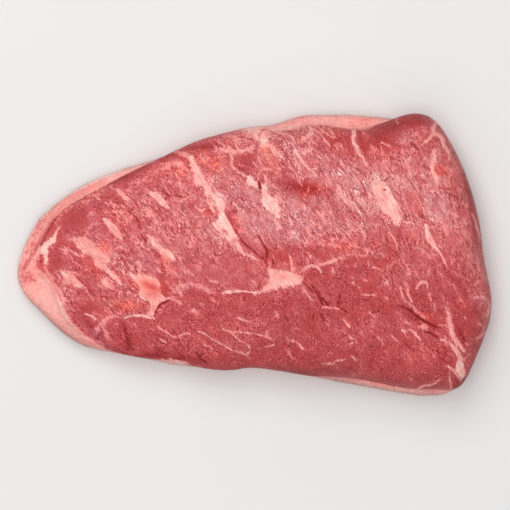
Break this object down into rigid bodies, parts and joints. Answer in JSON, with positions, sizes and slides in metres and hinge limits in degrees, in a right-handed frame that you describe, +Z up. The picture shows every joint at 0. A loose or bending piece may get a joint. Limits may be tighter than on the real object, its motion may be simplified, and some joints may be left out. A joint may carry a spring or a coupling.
{
  "type": "raw picanha",
  "caption": "Whole raw beef picanha lying on its fat cap: a flat triangular muscle with its trimmed, marbled face up and a soft fat layer showing round the rim.",
  "frame": {"origin": "middle of the footprint, on the surface that the cut lies on", "axes": "+X from the pointed tip to the thick end, +Y to the side where the fat shows along the middle of the rim, +Z up"},
  "size_m": [0.3, 0.1787, 0.0468],
  "materials": {
    "lean": null,
    "fat_cap": null
  },
  "bodies": {
    "root": {"lean": "lean", "fat_cap": "fat_cap"}
  },
  "joints": []
}
